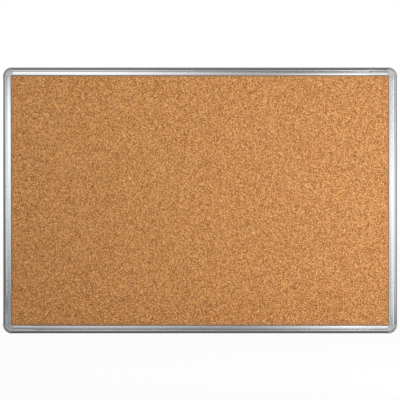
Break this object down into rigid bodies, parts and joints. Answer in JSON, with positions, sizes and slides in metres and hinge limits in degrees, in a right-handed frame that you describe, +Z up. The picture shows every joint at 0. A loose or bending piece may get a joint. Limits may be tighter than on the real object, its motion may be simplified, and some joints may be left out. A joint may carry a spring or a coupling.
{
  "type": "cork board",
  "caption": "Wall-hung cork notice board: a pinnable panel in rounded aluminium rails, with silver corner caps that pull off over the fixing screws.",
  "frame": {"origin": "the middle of the board in the plane of the wall, where its back rests", "axes": "+X to the right as one faces the board, +Y into the wall, +Z up; the cork faces -Y"},
  "size_m": [0.9244, 0.0154, 0.6244],
  "materials": {
    "anodised_aluminium": "satin natural anodised, with fine lines along the rail",
    "cap_plastic": "silver-grey moulded, satin",
    "joiner_plastic": "dark grey moulded, matt",
    "cork": "fine granulated cork, sanded",
    "softboard": "soft pressed fibre",
    "hardboard": "pressed hardboard",
    "zinc_plated_steel": "bright zinc plate"
  },
  "bodies": {
    "board": {"backing_board": "hardboard", "core_board": "softboard", "cork_sheet": "cork", "rail_top": "anodised_aluminium", "rail_screw_top_a": "zinc_plated_steel", "rail_screw_top_b": "zinc_plated_steel", "rail_right": "anodised_aluminium", "rail_screw_right_a": "zinc_plated_steel", "rail_screw_right_b": "zinc_plated_steel", "rail_bottom": "anodised_aluminium", "rail_screw_bottom_a": "zinc_plated_steel", "rail_screw_bottom_b": "zinc_plated_steel", "rail_left": "anodised_aluminium", "rail_screw_left_a": "zinc_plated_steel", "rail_screw_left_b": "zinc_plated_steel", "corner_joiner_top_right": "joiner_plastic", "corner_joiner_bottom_right": "joiner_plastic", "corner_joiner_bottom_left": "joiner_plastic", "corner_joiner_top_left": "joiner_plastic"},
    "cap_top_right": {"corner_cap_top_right": "cap_plastic"},
    "cap_bottom_right": {"corner_cap_bottom_right": "cap_plastic"},
    "cap_bottom_left": {"corner_cap_bottom_left": "cap_plastic"},
    "cap_top_left": {"corner_cap_top_left": "cap_plastic"}
  },
  "joints": [
    {"name": "cap_top_right_pull", "type": "slide", "parent": "board", "child": "cap_top_right", "axis": [0, -1, 0], "range_m": [0, 0.02]},
    {"name": "cap_bottom_right_pull", "type": "slide", "parent": "board", "child": "cap_bottom_right", "axis": [0, -1, 0], "range_m": [0, 0.02]},
    {"name": "cap_bottom_left_pull", "type": "slide", "parent": "board", "child": "cap_bottom_left", "axis": [0, -1, 0], "range_m": [0, 0.02]},
    {"name": "cap_top_left_pull", "type": "slide", "parent": "board", "child": "cap_top_left", "axis": [0, -1, 0], "range_m": [0, 0.02]}
  ]
}
